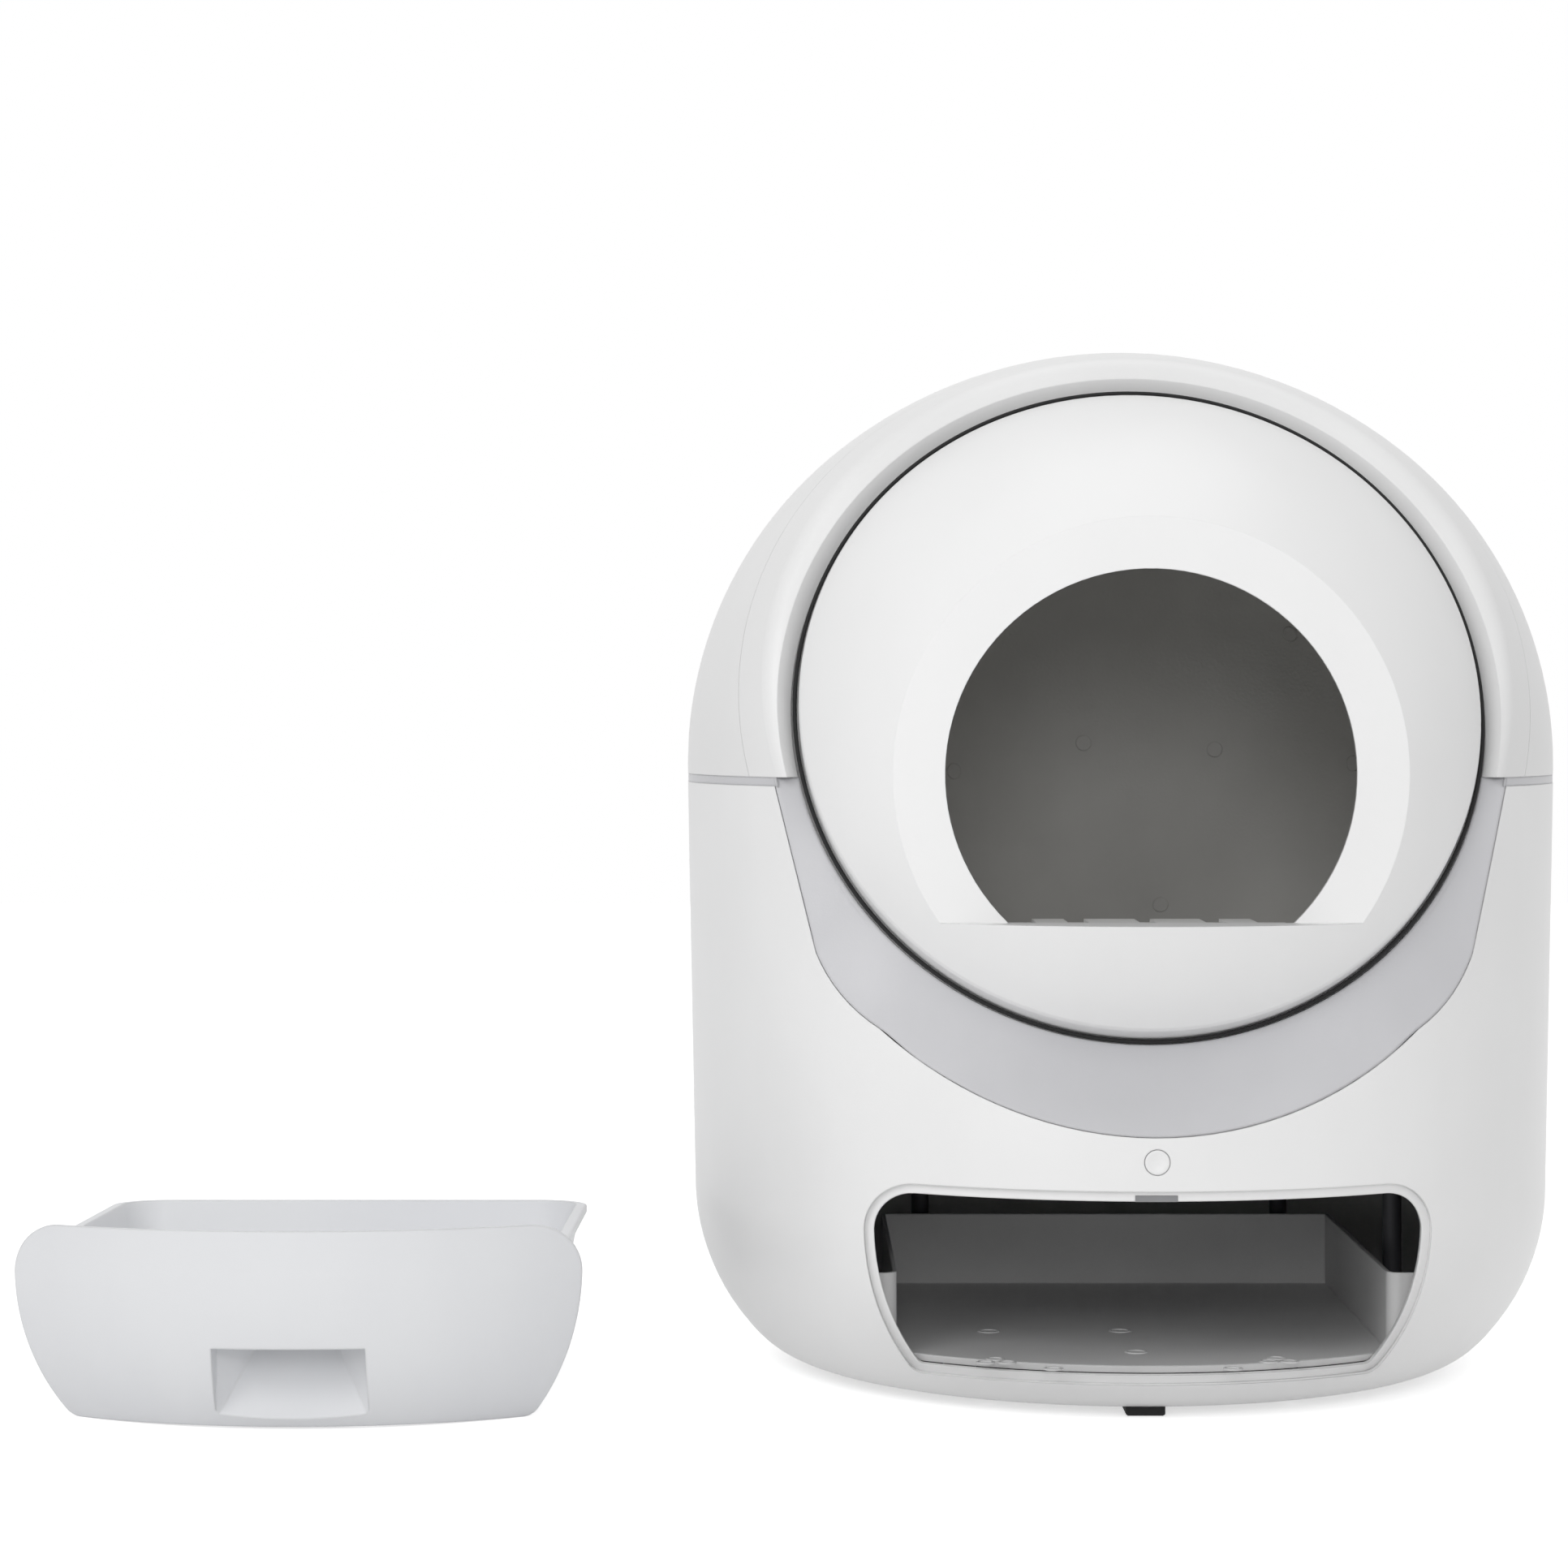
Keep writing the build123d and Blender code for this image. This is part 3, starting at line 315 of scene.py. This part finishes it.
nodeFinish = {
    "base_housing": "shellWhite", "floor_pan": "panBlack", "pan_screws": "steelBright",
    "front_foot": "footRubber", "rear_feet": "footRubber", "load_cells": "steelBright",
    "bay_liner": "bayWhite", "deck_plate": "innerDark", "deck_posts": "innerDark",
    "cradle": "crescentGrey", "hood_front": "hoodWhite", "hood_rear": "hoodWhite",
    "hood_latch_left": "hoodWhite", "hood_latch_right": "hoodWhite",
    "latch_spring_left": "steelBright", "latch_spring_right": "steelBright",
    "front_button": "shellWhite", "button_switch": "panBlack", "drawer_sensor": "sensorSmoke",
    "drum_front": "drumWhite", "drum_rear": "drumWhite", "drum_track": "gearIvory",
    "drum_lining": "liningGrey", "lining_studs": "liningGrey", "sifting_screen": "liningGrey",
    "entry_sill": "drumWhite", "sill_pads": "padSoft", "ring_gear": "gearIvory",
    "gear_screws": "steelBright", "drum_spindle": "steelBright", "spindle_bush": "bronzeSinter",
    "drive_frame": "innerDark", "drive_pinion": "gearIvory", "pinion_shaft": "steelBright",
    "gearbox": "panBlack", "drive_motor": "motorSteel", "control_board": "boardGreen",
    "power_socket": "panBlack", "roller_left": "innerDark", "roller_right": "innerDark",
    "roller_pins": "steelBright", "roller_brackets": "innerDark",
    "drawer_front": "drawerWhite", "drawer_basin": "drawerWhite",
}
for name, finish in nodeFinish.items():
    nodes[name].data.materials.clear()
    nodes[name].data.materials.append(finishes[finish])

# Marks on the floor of the bay: low rings, sunk by half into it

bayMarks = {
    "half": (0.0011, 0.0006),  # metres, along the floor and up
    "turns": 48,
    "steps": 12,
    "tilt": 90.0,  # degrees, so the rings lie flat
    "lean": 0.0,
    "floor": 0.0365,  # top of the liner's floor
    "rings": [(-0.0074, 0.0818, 0.0060), (-0.0044, 0.0027, 0.0060), (-0.0906, 0.0804, 0.0060),
              (-0.0593, -0.0560, 0.0050), (0.0482, -0.0560, 0.0050)],  # x, y and radius
    "clovers": [(-0.0921, -0.0300), (0.0788, -0.0270)],  # x and y, each with three leaves
    "leafTurns": (90.0, 210.0, 330.0),
    "leaf": 0.0048,
    "leafApart": 0.0075,
}


# Round the ring by a, round its section by b: reach = radius + half width * cos(b),
# ahead = half height * sin(b) + lean * (1 + sin(a)) / 2, so a ring that leans stands further out at its top.
def ringPoints(middle, radius, look):
    turn = np.linspace(0.0, 2.0 * math.pi, look["turns"], endpoint=False)[None, :, None]
    section = np.linspace(0.0, 2.0 * math.pi, look["steps"], endpoint=False)[:, None, None]
    tilt = math.radians(look["tilt"])
    outward = np.array((0.0, -math.cos(tilt), math.sin(tilt)))
    across = np.array((1.0, 0.0, 0.0))
    upward = np.array((0.0, math.sin(tilt), math.cos(tilt)))
    reach = radius + look["half"][0] * np.cos(section)
    ahead = look["half"][1] * np.sin(section) + look["lean"] * (1.0 + np.sin(turn)) / 2.0
    points = np.array(middle) + reach * (np.cos(turn) * across + np.sin(turn) * upward) + ahead * outward
    return points.reshape(-1, 3)


def ringFaces(look, first):  # each quad joins a point to the next round the section and round the ring
    section, turn = np.meshgrid(np.arange(look["steps"]), np.arange(look["turns"]), indexing="ij")
    row = section * look["turns"]
    nextRow = (section + 1) % look["steps"] * look["turns"]
    nextTurn = (turn + 1) % look["turns"]
    corners = (row + turn, row + nextTurn, nextRow + nextTurn, nextRow + turn)
    return first + np.stack(corners, axis=-1).reshape(-1, 4)


def addPiece(name, points, faces, body, finish):
    mesh = bpy.data.meshes.new(name)
    mesh.from_pydata(points.tolist(), [], faces.tolist())
    mesh.polygons.foreach_set("use_smooth", np.ones(len(faces), dtype=bool))
    mesh.materials.append(finishes[finish])
    piece = bpy.data.objects.new(name, mesh)
    scene.collection.objects.link(piece)
    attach(piece, body)


def makeBayMarks(marks):
    rings = list(marks["rings"])
    for x, y in marks["clovers"]:
        for turn in np.radians(marks["leafTurns"]):
            leafX = x + marks["leafApart"] * math.cos(turn)
            leafY = y + marks["leafApart"] * math.sin(turn)
            rings.append((leafX, leafY, marks["leaf"]))
    count = marks["steps"] * marks["turns"]
    points = np.concatenate([ringPoints((x, y, marks["floor"]), radius, marks) for x, y, radius in rings])
    faces = np.concatenate([ringFaces(marks, index * count) for index in range(len(rings))])
    addPiece("bayMarks", points, faces, "base", "bayWhite")


makeBayMarks(bayMarks)
print("bay marks made")

# Black ring of painted shade in the gap between the drum's front and the lip round it

gapShadeRing = {
    "middle": (0.0, 0.04137, 0.42855),  # metres, 0.4 mm behind the lip's inner edge
    "tilt": 21.3,  # degrees
    "lean": 0.0125,  # metres: at its top the ring lies on the drum's bulge
    "radius": 0.2134,
    "half": (0.0013, 0.0014),
    "turns": 288,
    "steps": 12,
}


# Painted shade: a dark rubber-coloured ring put in the gap where there is only shade
def makeGapShadeRing(shadeRing):
    points = ringPoints(shadeRing["middle"], shadeRing["radius"], shadeRing)
    addPiece("gapShadeRing", points, ringFaces(shadeRing, 0), "base", "footRubber")


makeGapShadeRing(gapShadeRing)
# The dark ring made above is painted shade in the gap, not a seal
print("drum seal made")

# Floor, world and lamps

light = {
    "world": 0.59,
    "floorHalf": 6.0,  # metres
    "floorTone": 0.86,
    "floorGlow": 0.62,
    "aim": (0.0, 0.1),  # every lamp looks at this x and y
    "lamps": [
        {"name": "windowLeft", "watts": 27.0, "size": 1.8, "place": (-1.7, -2.6, 2.2), "aimHeight": 0.35},
        {"name": "frontSoft", "watts": 16.0, "size": 0.9, "place": (-0.2, -3.1, 1.15), "aimHeight": 0.30},
        {"name": "topSoft", "watts": 9.0, "size": 2.0, "place": (0.3, 0.4, 3.0), "aimHeight": 0.30},
    ],
}


# Grey light from all round, but white where the camera, a reflection or a see-through ray looks.
def makeWorld(strength):
    world = bpy.data.worlds.new("studioWorld")
    scene.world = world
    graph = Graph(world)
    path = graph.add("ShaderNodeLightPath")
    seen = path.out("Is Camera Ray").maths("MAXIMUM", path.out("Is Glossy Ray"))
    seen = seen.maths("MAXIMUM", path.out("Is Transmission Ray"))
    glow = strength + seen * (1.0 - strength)
    shader = graph.add("ShaderNodeBackground", None, Color=(1.0, 1.0, 1.0, 1.0), Strength=glow)
    graph.add("ShaderNodeOutputWorld", None, Surface=shader)


# A square of pale floor, which glows a little to the camera and in reflections, so that it is white where it
# is lit and a shadow still shows.
def makeFloor():
    half = light["floorHalf"]
    mesh = bpy.data.meshes.new("studioFloor")
    corners = [(-half, -half, 0.0), (half, -half, 0.0), (half, half, 0.0), (-half, half, 0.0)]
    mesh.from_pydata(corners, [], [(0, 1, 2, 3)])
    floor = bpy.data.objects.new("studioFloor", mesh)
    scene.collection.objects.link(floor)
    graph = Graph(bpy.data.materials.new("paleFloor"))
    path = graph.add("ShaderNodeLightPath")
    seen = path.out("Is Camera Ray").maths("MAXIMUM", path.out("Is Glossy Ray"))
    paint = graph.add("ShaderNodeBsdfDiffuse", None, Color=(light["floorTone"],) * 3 + (1.0,))
    shine = seen * light["floorGlow"]
    glow = graph.add("ShaderNodeEmission", None, Color=(1.0, 1.0, 1.0, 1.0), Strength=shine)
    graph.finish(graph.add("ShaderNodeAddShader", None, paint, glow))
    mesh.materials.append(bpy.data.materials["paleFloor"])


def makeLamp(lamp):
    data = bpy.data.lights.new(lamp["name"], "AREA")
    data.energy = lamp["watts"]
    data.shape = "DISK"
    data.size = lamp["size"]
    item = bpy.data.objects.new(lamp["name"], data)
    reach = np.array((*light["aim"], lamp["aimHeight"])) - np.array(lamp["place"])
    item.location = lamp["place"]
    turn = math.atan2(reach[1], reach[0]) - math.pi / 2
    fall = math.atan2(math.hypot(reach[0], reach[1]), -reach[2])
    item.rotation_euler = (fall, 0.0, turn)
    scene.collection.objects.link(item)


makeWorld(light["world"])
makeFloor()
for lamp in light["lamps"]:
    makeLamp(lamp)
print("stage made")
